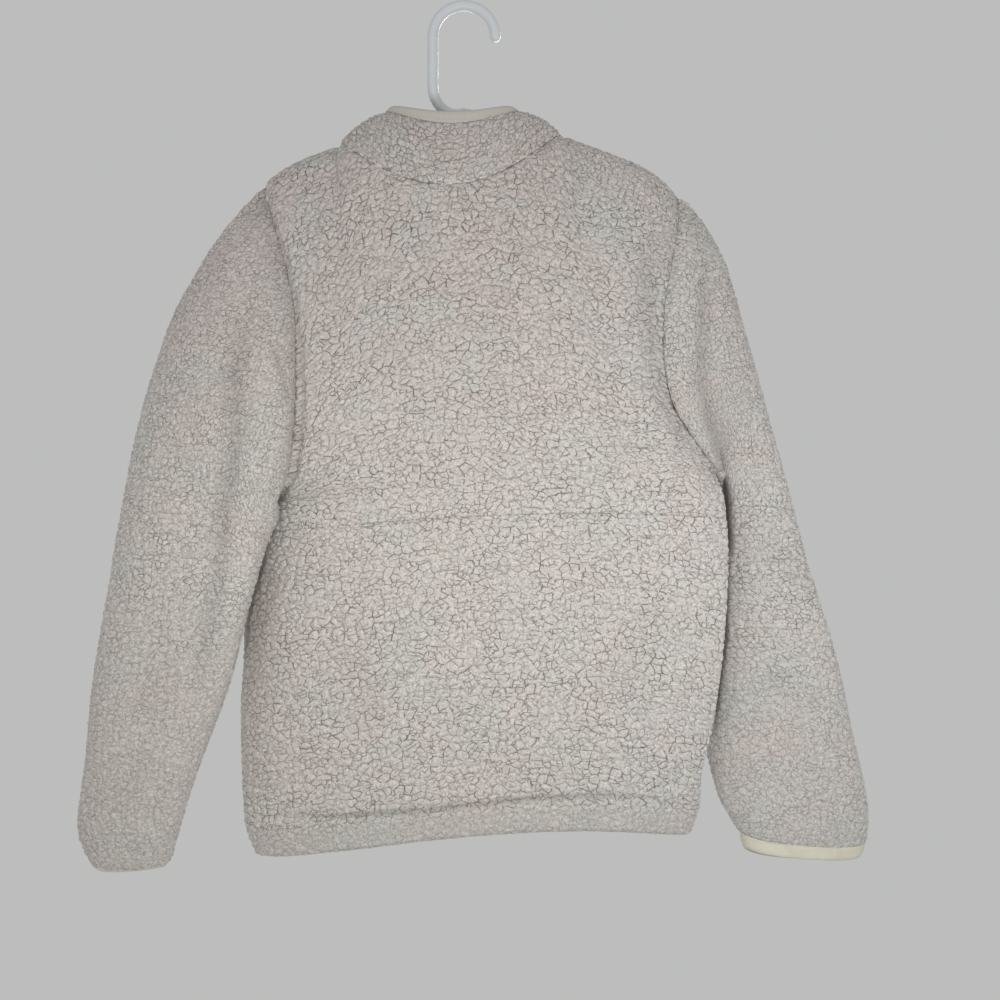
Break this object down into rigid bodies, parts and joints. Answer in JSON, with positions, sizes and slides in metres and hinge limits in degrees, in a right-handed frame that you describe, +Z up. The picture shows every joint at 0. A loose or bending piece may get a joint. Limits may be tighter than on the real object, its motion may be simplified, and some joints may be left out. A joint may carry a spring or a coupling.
{
  "type": "fleece jacket on a clothes hanger",
  "caption": "Hollow sherpa fleece jacket with stand collar, set-in sleeves, bound cuffs and closed front zip, hung on a white tube clothes hanger.",
  "frame": {"origin": "inner top of the hanger's hook, where a rail or nail carries it", "axes": "+Z up, +X to the wearer's right, +Y out of the jacket's front, so the back faces -Y"},
  "size_m": [0.7105, 0.1512, 0.7915],
  "materials": {
    "fleece": "clumped sherpa pile, matt",
    "binding": "ribbed elastic binding",
    "zip_tape": "woven tape",
    "zip_teeth": "moulded teeth",
    "zip_metal": "satin metal",
    "hanger_plastic": "smooth white plastic"
  },
  "bodies": {
    "jacket": {"back_upper": "fleece", "back_lower": "fleece", "left_front": "fleece", "right_front": "fleece", "left_sleeve": "fleece", "right_sleeve": "fleece", "collar": "fleece", "collar_binding": "binding", "left_cuff_binding": "binding", "right_cuff_binding": "binding", "left_zip_tape": "zip_tape", "right_zip_tape": "zip_tape", "zip_chain": "zip_teeth", "zip_slider": "zip_metal", "hanger": "hanger_plastic"},
    "pull_tab": {"zip_pull": "zip_metal"}
  },
  "joints": [
    {"name": "pull_swing", "type": "hinge", "parent": "jacket", "child": "pull_tab", "pos_m": [-0.0095, 0.04397, -0.14218], "axis": [0.9999, 0, 0.0112], "range_deg": [0, 150]}
  ]
}
